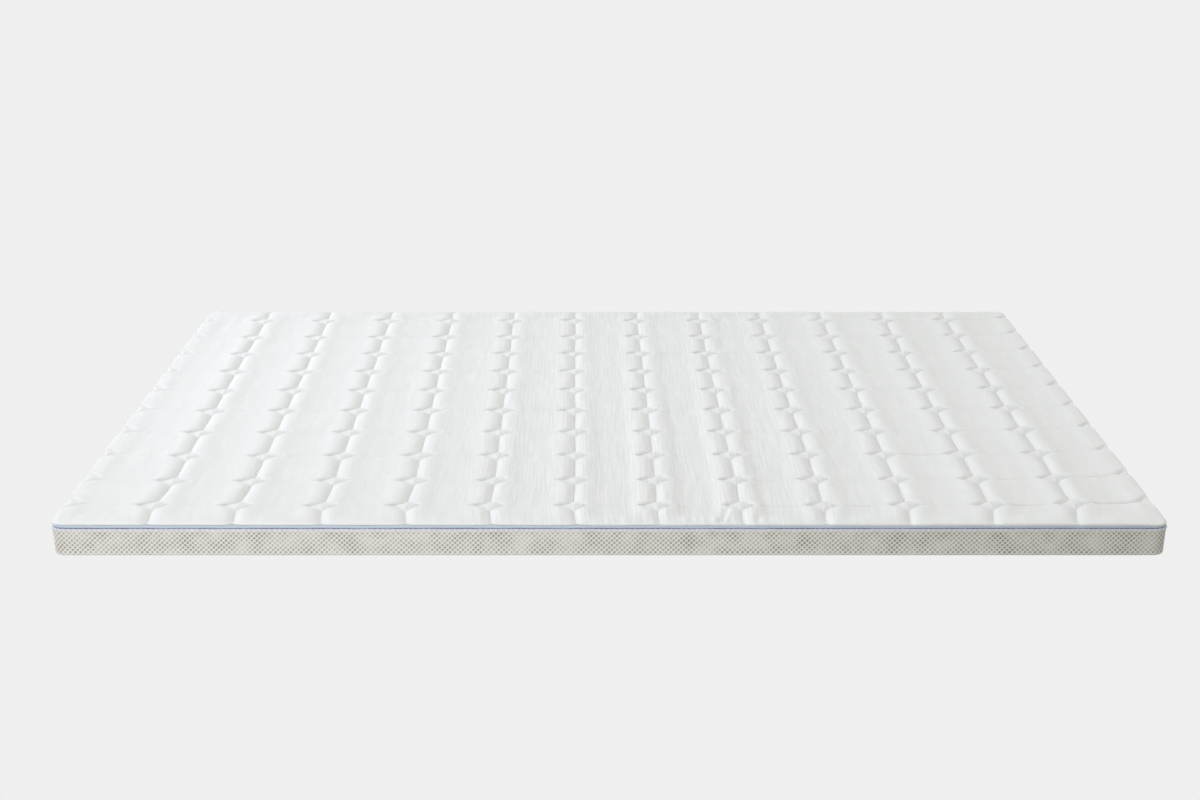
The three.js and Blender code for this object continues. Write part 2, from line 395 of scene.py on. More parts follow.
def from_nearest(value, lines):
    """Signed distance from the nearest of some lines."""
    nearest = np.abs(value[..., None] - lines).argmin(-1)
    return value - lines[nearest]


def corner_parts(x, y):
    """How far past the start of the corners' arcs a point of the panel is, along each axis."""
    radius = CORNER_RADIUS - PANEL_SET_IN
    return np.abs(x) - (PANEL_HALF.x - radius), np.abs(y) - (PANEL_HALF.y - radius)


def seam_distance(x, y):
    """How far a point of the panel is from its outermost line, with the plan corners rounded."""
    over_x, over_y = corner_parts(x, y)
    outside = np.hypot(np.maximum(over_x, 0), np.maximum(over_y, 0))
    return CORNER_RADIUS - PANEL_SET_IN - outside - np.minimum(np.maximum(over_x, over_y), 0)


def way_out(x, y):
    """The way out of the panel from points on its rim, and none further in."""
    over_x, over_y = corner_parts(x, y)
    return unit(np.stack([np.maximum(over_x, 0) * np.sign(x), np.maximum(over_y, 0) * np.sign(y)], -1))


def askew(u, v):
    """Where a place on the flat cut lies in plan: a little askew, and swept back at the sides."""
    to_end = PANEL_HALF.y - np.abs(v)
    from_front = v + PANEL_HALF.y
    strips = from_front / FIRST_ROW
    inwards = smooth_step((PANEL_HALF.x - np.abs(u)) / SIDE_FADE)
    slant = (COLUMN_SPREAD * u - COLUMN_SLANT) * v * smooth_step(from_front / SLANT_FADE) ** 2
    draw = np.where(u > 0, FRONT_DRAW_RIGHT, FRONT_DRAW_LEFT) * u * (1 - smooth_step(strips))
    shift = FRONT_SHIFT * np.clip(1 - from_front / (FIRST_ROW + ROW_PITCH), 0, 1) ** 2
    across = slant + shift * fade(u, *SHIFT_RIGHT_FADE) - draw
    back = (ROW_SLANT * u - ROW_SAG) * smooth_step(to_end / SLANT_FADE)
    left_most = LEFT_SWEEP_FRONT + (LEFT_SWEEP_BACK - LEFT_SWEEP_FRONT) * from_front / (2 * PANEL_HALF.y)
    left = np.clip((column_x[0] - u) / (column_x[0] + PANEL_HALF.x), 0, 1) ** LEFT_SWEEP_POWER
    right = np.clip((u - RIGHT_SWEEP_FROM) / (PANEL_HALF.x - RIGHT_SWEEP_FROM), 0, 1) ** RIGHT_SWEEP_POWER
    sweep = (left_most * left + RIGHT_SWEEP * right) * smooth_step(to_end / SWEEP_FADE)
    lift = FRONT_LIFT + LEFT_LIFT * fade(-u, *LIFT_LEFT_FADE)
    lift = lift * smooth_step(strips) * smooth_step(FRONT_LIFT_STRIPS - strips)
    return u + inwards * across, v + back + sweep + inwards * lift


def panel_plan(u, v):
    """Where a place on the flat cut lies in plan, once the cloth is sewn up and its corners rounded."""
    x, y = askew(u, v)
    inside = smooth_step(np.minimum(PANEL_HALF.x - np.abs(u), PANEL_HALF.y - np.abs(v)) / EVEN_MARGIN)
    x = x + inside * uneven("columns", u, v)
    y = y + inside * uneven("rows", u, v)
    radius = CORNER_RADIUS - PANEL_SET_IN
    over_x = np.clip((np.abs(x) - PANEL_HALF.x) / radius + 1, 0, 1)
    over_y = np.clip((np.abs(y) - PANEL_HALF.y) / radius + 1, 0, 1)
    pull_x = radius * over_x * (1 - np.sqrt(1 - over_y**2 / 2))
    pull_y = radius * over_y * (1 - np.sqrt(1 - over_x**2 / 2))
    x, y = x - np.sign(x) * pull_x, y - np.sign(y) * pull_y
    near_rim = np.clip(1 - seam_distance(x, y) / NOTCH_REACH, 0, 1) ** 2
    notch = RIM_NOTCH_IN * line_ends(u, v) * near_rim
    out = way_out(x, y)
    return x - notch * out[..., 0], y - notch * out[..., 1]


def line_ends(u, v):
    """1 on the ends of the stitch lines and 0 between them, for places near the rim of the cut."""
    to_front_or_back = PANEL_HALF.y - np.abs(v) < PANEL_HALF.x - np.abs(u)
    from_column = from_nearest(u, column_x) / COLUMN_NOTCH_WIDTH
    from_row = from_nearest(v, row_y) / ROW_NOTCH_WIDTH
    return np.exp(-(np.where(to_front_or_back, from_column, from_row) ** 2))


def lip_droop(u, v):
    """How far the rolled edge hangs down over the piping: more towards the right of the front."""
    at_front = fade(-v, PANEL_HALF.y - LIP_FADE, LIP_FADE)
    waves = uneven("lip", u, 0 * u) * fade(u, *LIP_WAVES_FADE)
    droop = LIP_DROOP * fade(u, *DROOP_RIGHT_FADE) - LIP_LEFT_RISE + waves
    at_corner = CORNER_DROOP * fade(u, *CORNER_DROOP_FADE)
    return at_front * (at_corner + np.clip(droop, *LIP_LIMITS))


def row_hold(u, v, from_tip, back):
    """How hard a row line pulls the cloth down: fully at the diamonds and the sides, less between them."""
    forward_share = HOLD_SHARE_AT_BACK + (1 - HOLD_SHARE_AT_BACK) * fade(-v, *HOLD_FRONT_FADE)
    hold = ROW_HOLD + ROW_HOLD_RIGHT * fade(u, *HOLD_RIGHT_FADE) * forward_share
    hold = np.maximum(hold, np.exp(-((np.maximum(from_tip, 0) / TIP_HOLD) ** 2)))
    for tight in TIGHT_ROWS:
        begun = fade(u, tight.start * MM, TIGHT_FADE)
        ended = fade(u, tight.end * MM - TIGHT_FADE, TIGHT_FADE)
        on_row = np.abs(v - row_y[tight.row]) < ROW_PITCH / 4
        hold = np.maximum(hold, tight.hold * begun * (1 - ended) * on_row)
    at_side = fade(np.abs(u), PANEL_HALF.x - SIDE_HOLD, SIDE_HOLD)
    at_side = at_side * np.clip(1 - back / SIDE_ROW_REACH, 0, 1) ** ROW_POWER
    return np.maximum(hold * np.clip(1 - back / ROW_REACH, 0, 1) ** ROW_POWER, at_side)


def front_gathers(u, v):
    """Depth of the soft troughs where the cloth is gathered into the front seam."""
    from_seam = v + PANEL_HALF.y
    depth = np.zeros(u.shape)
    for gather in GATHERS:
        middle = gather.place * MM + gather.slant * from_seam
        across = np.exp(-(((u - middle) / (gather.half_width * MM)) ** 2))
        half_reach = gather.reach * MM / 2
        along = smooth_step(from_seam / GATHER_START) * (1 - fade(from_seam, half_reach, half_reach))
        depth += gather.depth * MM * across * along
    return depth


def creases(u, v, back, seam):
    """Rise of the loose cloth, and of the fine puckers along the row lines and the seams."""
    loose = uneven("loose_cloth", u, v) + uneven("pads", u, v)
    at_row = uneven("row_puckers", u, ROW_PUCKER_BREADTH * v) * np.exp(-back / ROW_PUCKER_REACH)
    at_seam = uneven("seam_puckers", u, v) * np.exp(-seam / SEAM_PUCKER_REACH)
    at_end = uneven("end_puckers", END_PUCKER_BREADTH * u, v)
    at_end = at_end * fade(u, *END_RIGHT_FADE) * fade(-v, *END_FRONT_FADE)
    return loose + at_row + at_seam + at_end


def swell(u, v, away, seam):
    """Height over the stitches of the wadding at a distance from the nearest stitched line and seam."""
    slack = np.exp(-(((u - SLACK_PLACE) / SLACK_HALF_WIDTH) ** 2)) * fade(-v, *SLACK_FRONT_FADE)
    middle = MIDDLE_SHARE - SLACK_SHARE * slack
    rise = 1 - np.clip(1 - away / CREST_DISTANCE, 0, 1) ** RISE_POWER
    fall = fade(np.minimum(away, seam), CREST_DISTANCE, MIDDLE_DISTANCE - CREST_DISTANCE)
    return SWELL * rise * (1 - (1 - middle) * fall)


def nearer(first, second):
    """About the smaller of two distances, with the change from one to the other rounded off."""
    first, second = np.maximum(first, TINY), np.maximum(second, TINY)
    return (first**-GROOVE_JOIN_POWER + second**-GROOVE_JOIN_POWER) ** (-1 / GROOVE_JOIN_POWER)


def panel_height(u, v, x, y):
    """Height of the quilted top at a place on the flat cut that lies at x, y."""
    across = np.abs(from_nearest(u, diamond_x))
    back = np.abs(from_nearest(v, row_y))
    seam = np.maximum(seam_distance(x, y), 0)
    from_middle = np.hypot(across, back)
    star = (across**DIAMOND_HOLLOW + back**DIAMOND_HOLLOW) ** (1 / DIAMOND_HOLLOW) + TINY
    beyond = DIAMOND_STEEPNESS * from_middle * (1 - DIAMOND_REACH / star)
    away = nearer(np.abs(from_nearest(u, column_x)), beyond)
    pad = swell(u, v, away, seam) * (1 - row_hold(u, v, across - DIAMOND_REACH, back))
    full = np.clip(pad / SWELL, 0, 1)
    lift = DIAMOND_LIFT * (1 - fade(from_middle, *LIFT_FADE))
    to_edge = np.clip(np.hypot(star / DIAMOND_REACH, DIAMOND_ROUNDING), 0, 1)
    dome = lift + (DIAMOND_RISE - lift) * (1 - to_edge) ** DOME_POWER
    quilted = lift + pad * (1 - lift / SWELL) + full * (creases(u, v, back, seam) - front_gathers(u, v))
    inland = GROOVE_HEIGHT + np.where(star < DIAMOND_REACH, dome, quilted)
    corner_fall = CORNER_FALL * fade(u, *CORNER_RIGHT_FADE) * fade(-v, *CORNER_FRONT_FADE)
    rim = RIM_HEIGHT - RIM_NOTCH_DOWN * line_ends(u, v) - corner_fall
    inland = inland - corner_fall * full
    drawn_up = np.clip(1 - seam / DRAWN_UP_REACH, 0, 1) ** 2
    inland = inland + drawn_up * np.maximum(rim + DRAWN_UP_RISE - inland, 0)
    rolled = 1 - np.sqrt(1 - np.clip(1 - seam / ROLL_REACH, 0, 1) ** 2)
    return inland + (rim - inland) * rolled


def panel_surface(u, v):
    """Points of the quilted top, for places on the flat cut."""
    x, y = panel_plan(u, v)
    return np.stack([x, y, panel_height(u, v, x, y)], -1)


# Grid lines: how far they lie from a stitch line or a seam, closer together where the cloth bends more
COLUMN_STEPS = np.array([1.5, 3.5, 6, 9.5, 14, 19.5, 25.5, 33, 42, 56, COLUMN_PITCH / 2 / MM]) * MM
ROW_STEPS = np.array([1.5, 3.5, 6.5, 10, 14, 18.5, 23, 28, 36, 50, 64, ROW_PITCH / 2 / MM]) * MM
SEAM_STEPS = np.array([0, 0.25, 1, 2.2, 4, 6.5, 10, 14, 18, 22.5, 27, 32]) * MM
SEAM_CLEARANCE = 4 * MM
MARGIN_STEP = 13 * MM

# More of them where the cloth is gathered, left out where they would come too close to another
GATHER_STEP = 4 * MM
GATHERED_FROM = -10 * MM
GATHERED_TO = 300 * MM
LEAST_STEP = 2.4 * MM

# How the rolled edge turns under behind the piping: inset from the outline, height and share of the droop
Turn = namedtuple("Turn", "inset height droop")
TURN_UNDER = [
    Turn(0, 60.3 * MM, 0.5),
    Turn(-0.3 * MM, 59.5 * MM, 0.9),
    Turn(0, 58.8 * MM, 1),
    Turn(0.9 * MM, 58.9 * MM, 0.5),
    Turn(3.2 * MM, PIPING_TOP + 0.35 * MM, 0),
    Turn(5.8 * MM, PIPING_HEIGHT + 2.85 * MM, 0),
    Turn(6.7 * MM, PIPING_HEIGHT, 0),
    Turn(6.7 * MM, PANEL_UNDERSIDE, 0),
]


def cut_lines(lines, steps, half):
    """Grid lines across the flat cut, close together at the stitch lines and at the seams."""
    near = np.concatenate([-steps[:-1], [0], steps])
    places = (lines[:, None] + near[None, :]).ravel()
    before = np.arange(lines[0] - steps[-1], -half, -MARGIN_STEP)
    after = np.arange(lines[-1] + steps[-1], half, MARGIN_STEP)[1:]
    places = np.concatenate([before, places, after])
    kept = places[np.abs(places) < half - SEAM_STEPS[-1] - SEAM_CLEARANCE]
    return np.sort(np.concatenate([kept, half - SEAM_STEPS, SEAM_STEPS - half]))


def quilted_top(material):
    """The quilted panel: its relief, rolled over the piping, turned down behind it and closed below."""
    lines_x = cut_lines(column_x, COLUMN_STEPS, PANEL_HALF.x)
    gathered = np.arange(GATHERED_FROM, GATHERED_TO, GATHER_STEP)
    apart = np.abs(gathered[:, None] - lines_x[None, :]).min(1)
    lines_x = np.sort(np.concatenate([lines_x, gathered[apart > LEAST_STEP]]))
    lines_y = cut_lines(row_y, ROW_STEPS, PANEL_HALF.y)
    u, v = np.meshgrid(lines_x, lines_y, indexing="ij")
    rows, columns = u.shape
    number = np.arange(rows * columns).reshape(rows, columns)
    rim = np.concatenate([number[:, 0], number[-1, 1:], number[-2::-1, -1], number[0, -2:0:-1]])
    flat = panel_surface(u, v).reshape(-1, 3)
    cut = np.stack([u, v], -1).reshape(-1, 2)
    out = way_out(*flat[rim, :2].T)
    droop = lip_droop(*cut[rim].T)
    around_rim = np.arange(len(rim))
    onward = (around_rim + 1) % len(rim)
    loops, upper, faces = [flat], rim, grid_faces(rows, columns).tolist()
    for turn in TURN_UNDER:
        place = flat[rim, :2] - (turn.inset - PANEL_SET_IN) * out
        height = turn.height - turn.droop * droop
        loops.append(np.concatenate([place, height[:, None]], -1))
        lower = len(flat) + (len(loops) - 2) * len(rim) + around_rim
        faces += np.stack([lower, lower[onward], upper[onward], upper], -1).tolist()
        upper = lower
    faces.append(upper[::-1].tolist())
    places = np.concatenate([cut] + [cut[rim]] * len(TURN_UNDER))
    return make_piece("quilted_top_cloth", np.concatenate(loops), faces, material, places)


# Quilting thread

STITCH_LENGTH = 4.6 * MM
STITCH_SHARE = 0.78
THREAD_RADIUS = 0.42 * MM
THREAD_SIDES = 3
OUTLINE_RUNS = 32

# A stitch at its start, middle and end: share of its length, height over the cloth, share of its thickness
STITCH_ALONG = np.array([0, 0.5, 1])
STITCH_ARCH = np.array([-0.35, 0.3, -0.35]) * MM
STITCH_TAPER = np.array([0.6, 1, 0.6])


def line_stitches(start, end):
    """Ends of the stitches from one place on the flat cut to another."""
    start, end = np.array(start), np.array(end)
    count = max(1, round(float(np.linalg.norm(end - start)) / STITCH_LENGTH))
    shares = (np.arange(count)[:, None] + [[0.5 - STITCH_SHARE / 2, 0.5 + STITCH_SHARE / 2]]) / count
    return start + shares[..., None] * (end - start)


def gaps_between_diamonds(middles, half):
    """The stretches of one stitch line that run from diamond to diamond and out to the seams."""
    starts = np.concatenate([[-half], middles + DIAMOND_REACH])
    ends = np.concatenate([middles - DIAMOND_REACH, [half]])
    return np.stack([starts, ends], -1)[ends > starts]


def diamond_sides(x, y):
    """The stitched outline of one diamond, as short straight runs along its hollow sides."""
    angles = np.linspace(0, 2 * math.pi, OUTLINE_RUNS + 1)
    power = 2 / DIAMOND_HOLLOW
    side_x = np.sign(np.cos(angles)) * np.abs(np.cos(angles)) ** power
    side_y = np.sign(np.sin(angles)) * np.abs(np.sin(angles)) ** power
    corner = np.stack([x + DIAMOND_REACH * side_x, y + DIAMOND_REACH * side_y], -1)
    return list(zip(corner[:-1], corner[1:], strict=True))


def all_stitches():
    """Ends of every stitch on the flat cut that lies inside the side seams."""
    runs = []
    for x in column_x:
        runs += [line_stitches((x, a), (x, b)) for a, b in gaps_between_diamonds(row_y, PANEL_HALF.y)]
    for y in row_y:
        runs += [line_stitches((a, y), (b, y)) for a, b in gaps_between_diamonds(diamond_x, PANEL_HALF.x)]
    for x in diamond_x:
        for y in row_y:
            runs += [line_stitches(a, b) for a, b in diamond_sides(x, y)]
    ends = np.concatenate(runs)
    return ends[np.abs(ends[:, :, 0]).max(1) < PANEL_HALF.x - STITCH_LENGTH / 2]


def quilting_thread(material):
    """Every stitch of the quilting, each a short arched length of thread that dips into the cloth."""
    ends = all_stitches()
    shares = STITCH_ALONG[:, None]
    cut = ends[:, None, 0] * (1 - shares) + ends[:, None, 1] * shares
    middle = panel_surface(cut[..., 0], cut[..., 1])
    middle[..., 2] += STITCH_ARCH
    heading = unit(middle[:, 2] - middle[:, 0])
    sideways = unit(np.cross([0, 0, 1], heading))
    angles = math.pi / 2 + 2 * math.pi * np.arange(THREAD_SIDES) / THREAD_SIDES
    ring = round_about(angles, sideways, np.cross(heading, sideways))
    radius = THREAD_RADIUS * STITCH_TAPER
    points = middle[:, :, None] + radius[:, None, None] * ring[:, None]
    stations = len(STITCH_ALONG)
    first = stations * THREAD_SIDES * np.arange(len(ends))[:, None, None]
    sides = grid_faces(stations, THREAD_SIDES, wrap_columns=True)[:, ::-1]
    start_cap = np.arange(THREAD_SIDES)[::-1]
    end_cap = np.arange(THREAD_SIDES) + (stations - 1) * THREAD_SIDES
    faces = (first + sides).reshape(-1, 4).tolist()
    faces += (first + np.stack([start_cap, end_cap])).reshape(-1, THREAD_SIDES).tolist()
    return make_piece("quilting_thread", points, faces, material)


# The mesh border: its face leans in towards its foot, turns under there, and is tucked in along its top
MESH_THICKNESS = 3 * MM
BORDER_SET_IN = -0.3 * MM
BORDER_LEAN = 2.6 * MM
TURN_RADIUS = 3.8 * MM
TUCK = 0.7 * MM
TUCK_DEPTH = 5 * MM
BINDING_DEPTH = 4.6 * MM
BORDER_FACE = BORDER_TOP - TURN_RADIUS
BORDER_DEEP = BORDER_FACE + TURN_RADIUS * math.pi / 2
BACK_PLACES = np.array([0, 0.45, 0.68, 0.8, 0.9, 1])

# Its lattice: knots and holes in turn, so two steps are a repeat, with deep holes in its upper rows only
MESH_PITCH = 9.2 * MM
MESH_ROW = 4.7 * MM
MESH_ACROSS = 2 * round(EDGE_LENGTH / MESH_PITCH)
MESH_DEEP = 2 * round(BORDER_DEEP / MESH_ROW / 2)
DEEP_ROWS = 10
HOLE_SHARE = 0.57
KEY_STEPS = 100

# Places in the lattice: how far each stands off the face, and how dark the mesh is there, from 0 to 1: the
# threads' own pale colour near 0, the beige pile's own colour between, and painted shade deep in the holes
MESH_PLACES = {
    "knot": (0.35 * MM, 0),
    "thread": (0, 0.3),
    "upper_thread": (0.15 * MM, 0.02),
    "lip": (-0.5 * MM, 0.72),
    "centre": (-1.4 * MM, 1),
    "shallow": (-0.42 * MM, 0.7),
    "edge": (0, 0.1),
}


def border_profile(down):
    """Inset and height of the border's outer face, for distances down it from its upper edge."""
    lean = BORDER_SET_IN + BORDER_LEAN * np.clip(down / BORDER_FACE, 0, 1)
    tuck = TUCK * np.clip(1 - down / TUCK_DEPTH, 0, 1) ** 2
    angle = border_turn(down)
    under = np.maximum(down - BORDER_DEEP, 0)
    inset = lean + tuck + TURN_RADIUS * (1 - np.cos(angle)) + under
    height = np.where(down < BORDER_FACE, BORDER_TOP - down, TURN_RADIUS * (1 - np.sin(angle)))
    return inset, height


def border_turn(down):
    """How far round its foot the border has turned under at distances down it."""
    return np.clip((down - BORDER_FACE) / TURN_RADIUS, 0, math.pi / 2)


def border_points(along, down, rise):
    """Points on the border at places along it and distances down it, raised off its face by rise."""
    inset, height = border_profile(down)
    nudge = 0.05 * MM
    next_inset, next_height = border_profile(down + nudge)
    slope = np.hypot(next_inset - inset, next_height - height)
    out_in = (next_height - height) / slope
    out_up = -(next_inset - inset) / slope
    bulge = np.sin(math.pi * np.clip(down / BORDER_TOP, 0, 1)) * uneven("border", along, down)
    place, out = edge_places(along)
    inset = inset + bulge + rise * out_in
    height = height + rise * out_up
    return np.concatenate([place - inset[:, None] * out, np.maximum(height, 0)[:, None]], -1)


def mesh_corner(kind, along, down):
    """A corner of the lattice, in steps from the middle of its hole: along, down, rise and hollow."""
    return (along, down, *MESH_PLACES[kind])


def turned(corner, quarters):
    """The same corner, turned by quarters about the middle of its hole."""
    along, down, rise, hollow = corner
    for _ in range(quarters):
        along, down = -down, along
    return (along, down, rise, hollow)


def mesh_hole(middle, quarters, lipped):
    """Triangles of some quarters of a hole and of the threads round it."""
    knot = mesh_corner("knot", 0, -1)
    lip = mesh_corner("lip", HOLE_SHARE / 2, -HOLE_SHARE / 2)
    made = []
    for side in quarters:
        strand = mesh_corner("upper_thread" if side % 2 else "thread", 0.5, -0.5)
        a, b, c = turned(knot, side), turned(strand, side), turned(knot, side + 1)
        if lipped:
            here, onward = turned(lip, side), turned(lip, side + 1)
            made += [(here, b, a), (here, c, b), (here, onward, c), (middle, onward, here)]
        else:
            made += [(middle, b, a), (middle, c, b)]
    return np.array(made, float)


def mesh_tiles():
    """Triangles of the mesh, as (along, down, rise, hollow) for each corner, in steps of its lattice."""
    centre, shallow, edge = (mesh_corner(kind, 0, 0) for kind in ("centre", "shallow", "edge"))
    k, j = np.meshgrid(np.arange(MESH_ACROSS), np.arange(MESH_DEEP + 1), indexing="ij")
    k, j = k.ravel(), j.ravel()
    is_hole = (k + j) % 2 == 0
    parts = []
    for chosen, template in (
        (j == 0, mesh_hole(edge, (1, 2), False)),
        ((j > 0) & (j <= DEEP_ROWS), mesh_hole(centre, range(4), True)),
        ((j > DEEP_ROWS) & (j < MESH_DEEP), mesh_hole(shallow, range(4), False)),
        (j == MESH_DEEP, mesh_hole(edge, (3, 4), False)),
    ):
        holes = is_hole & chosen
        offset = np.stack([k[holes], j[holes], 0 * k[holes], 0 * k[holes]], -1)
        parts.append((offset[:, None, None, :] + template[None]).reshape(-1, 3, 4))
    return np.concatenate(parts)


def mesh_border(material):
    """Spacer mesh: a lattice of raised threads with a hole in each diamond, turned under at its foot."""
    step = EDGE_LENGTH / MESH_ACROSS
    row_height = BORDER_DEEP / MESH_DEEP
    corners = mesh_tiles().reshape(-1, 4)
    keys = np.round(corners[:, :2] * KEY_STEPS).astype(int)
    keys[:, 0] %= KEY_STEPS * MESH_ACROSS
    _, kept, triangles = np.unique(keys, axis=0, return_index=True, return_inverse=True)
    along, down, rise, hollow = corners[kept].T
    along = (along % MESH_ACROSS) * step
    down = np.clip(down * row_height, 0, BORDER_DEEP)
    rise = np.where((down == 0) | (down == BORDER_DEEP), 0, rise)
    front = border_points(along, down, rise)
    here = np.arange(MESH_ACROSS)
    back = border_back(here * step)
    next_one = (here + 1) % MESH_ACROSS
    number = {tuple(key): i for i, key in enumerate(keys[kept].tolist())}
    upper, lower = (
        np.array([number[KEY_STEPS * i, KEY_STEPS * row] for i in here.tolist()])
        for row in (0, MESH_DEEP)
    )
    rings = back.shape[1]
    inner_upper = len(front) + here * rings
    inner_lower = inner_upper + rings - 1
    lid = np.stack([upper, upper[next_one], inner_upper[next_one], inner_upper], -1)
    foot = np.stack([lower[next_one], lower, inner_lower, inner_lower[next_one]], -1)
    faces = triangles.reshape(-1, 3).tolist()
    faces += grid_faces(MESH_ACROSS, rings, wrap_rows=True, first=len(front)).tolist()
    faces += lid.tolist() + foot.tolist()
    hidden = back[..., 0].size
    uv = np.concatenate([np.stack([along, down], -1), np.zeros((hidden, 2))])
    hollow = np.concatenate([hollow, np.zeros(hidden)])
    points = np.concatenate([front, back.reshape(-1, 3)])
    return make_piece("mesh_border_cloth", points, faces, material, uv, EDGE_LENGTH, hollow)


def border_back(along):
    """The inner face of the border, a cloth's thickness behind the outer one."""
    down = BACK_PLACES * BORDER_DEEP
    inset, height = border_profile(down)
    angle = border_turn(down)
    inset = inset + MESH_THICKNESS * np.cos(angle)
    height = height + MESH_THICKNESS * np.sin(angle)
    return around(along, inset, height)


# The piping cord, and how it wanders: by waves up and down, as (how many, phase), and by others in and out
PIPING_SIDES = 12
PIPING_STATIONS = 900
CORD_WAVES_UP = [(23, 0), (61, 1), (140, 2)]
CORD_RISE = 0.12 * MM
CORD_WAVES_OUT = 37
CORD_SWAY = 0.1 * MM

# The overlocked edge: how far down its zigzag starts, and how far it stands off the mesh
OVERLOCK_START = 0.2 * MM
OVERLOCK_RISE = 0.7 * MM
OVERLOCK_RADIUS = 1.15 * MM
OVERLOCK_SIDES = 4


def tube(name, path, outward, radius, sides, material):
    """A closed tube round the edge, with a UV place along it and round it."""
    heading = unit(np.roll(path, -1, 0) - np.roll(path, 1, 0))
    across = unit(np.cross(heading, outward))
    angles = 2 * math.pi * np.arange(sides) / sides
    points = path[:, None] + radius * round_about(angles, np.cross(across, heading), across)
    along = even_stations(len(path))
    uv = np.stack(np.broadcast_arrays(along[:, None], radius * angles), -1)
    faces = grid_faces(len(path), sides, wrap_rows=True, wrap_columns=True)[:, ::-1]
    return make_piece(name, points, faces.tolist(), material, uv, EDGE_LENGTH)


def edge_path(count, inset, height):
    """A closed path round the edge, and the way out from it."""
    place, out = edge_places(even_stations(count))
    path = np.concatenate([place - inset[:, None] * out, height[:, None]], -1)
    return path, np.concatenate([out, np.zeros((count, 1))], -1)


def piping(material):
    """The corded piping, which wanders a little round the edge."""
    turn = 2 * math.pi * even_stations(PIPING_STATIONS) / EDGE_LENGTH
    rise = CORD_RISE * sum(np.sin(waves * turn + phase) for waves, phase in CORD_WAVES_UP)
    inset = PIPING_RADIUS + CORD_SWAY * (1 + np.sin(CORD_WAVES_OUT * turn))
    path, out = edge_path(PIPING_STATIONS, inset, PIPING_HEIGHT + rise)
    return tube("piping_cord", path, out, PIPING_RADIUS, PIPING_SIDES, material)


def overlock(material):
    """The zigzag of thread that binds the border's upper edge, a stitch for each repeat of the mesh."""
    down = np.where(np.arange(MESH_ACROSS) % 2 == 0, OVERLOCK_START, BINDING_DEPTH)
    inset, height = border_profile(down)
    path, out = edge_path(MESH_ACROSS, inset - OVERLOCK_RISE, height)
    return tube("overlock_thread", path, out, OVERLOCK_RADIUS, OVERLOCK_SIDES, material)


# Finishes


def paint(hex_colour):
    """An sRGB hex colour as the linear colour that a shader takes."""
    parts = [int(hex_colour[i : i + 2], 16) / 255 for i in (1, 3, 5)]
    linear = [c / 12.92 if c <= 0.04045 else ((c + 0.055) / 1.055) ** 2.4 for c in parts]
    return (*linear, 1.0)


def add(tree, kind, inputs=None, **settings):
    """Adds a node with its settings. Its inputs take values, outputs, or nodes for their first output."""
    node = tree.nodes.new("ShaderNode" + kind)
    for name, value in settings.items():
        setattr(node, name, value)
    for name, value in (inputs or {}).items():
        socket = node.inputs[name]
        if isinstance(value, bpy.types.Node):
            value = value.outputs[0]
        if isinstance(value, bpy.types.NodeSocket):
            tree.links.new(value, socket)
        else:
            socket.default_value = value
    return node


def new_finish(name):
    """A material with a Principled shader, as (material, node tree, shader)."""
    material = bpy.data.materials.new(name)
    material.use_nodes = True
    return material, material.node_tree, material.node_tree.nodes["Principled BSDF"]


def finish_with(tree, shader, shade, bump, **values):
    """Feeds a shader with its colour and its normal, and sets sockets that are the same all over."""
    tree.links.new(shade.outputs["Result"], shader.inputs["Base Color"])
    tree.links.new(bump.outputs["Normal"], shader.inputs["Normal"])
    for name, value in values.items():
        shader.inputs[name.replace("_", " ")].default_value = value


def patches(tree, place, across, deep, detail):
    """Noise over the flat cloth, in patches of about one size along X and another along Y."""
    scaled = add(tree, "Mapping", {"Vector": place, "Scale": (1 / across, 1 / deep, 1)})
    return add(tree, "TexNoise", {"Vector": scaled, "Scale": 1.0, "Detail": detail})


def band_scale(pitch):
    """The scale of a wave texture with its bands a pitch apart. At a scale of 1 they are pi / 10 apart."""
    return math.pi / 10 / pitch


# The knit's patterns. Its ribs fade to both sides, and its loops are drawn coarser than real ones, to show
RIB_WIDTH = 4.348 * MM
RIB_LENGTH = 142.9 * MM
RIB_EDGES = {"From Min": 0.36, "From Max": 0.64}
RIBBED_MIDDLE = 90 * MM
RIBBED_FADE = {"From Min": 200 * MM, "From Max": 600 * MM, "To Min": 1.0, "To Max": 0.25}
LADDER_WIDTH = 29.41 * MM
LADDER_LENGTH = 111.1 * MM
LADDER_EDGES = {"From Min": 0.58, "From Max": 0.62}
RUNG_PITCH = 5.712 * MM
LOOP_SIZE = 2.381 * MM
LOOP_SHARE = 0.3
FOLD_WIDTH = 26.32 * MM
FOLD_LENGTH = 111.1 * MM
FOLD_DEPTH = 2.2 * MM
KNIT_DEPTH = 0.45 * MM


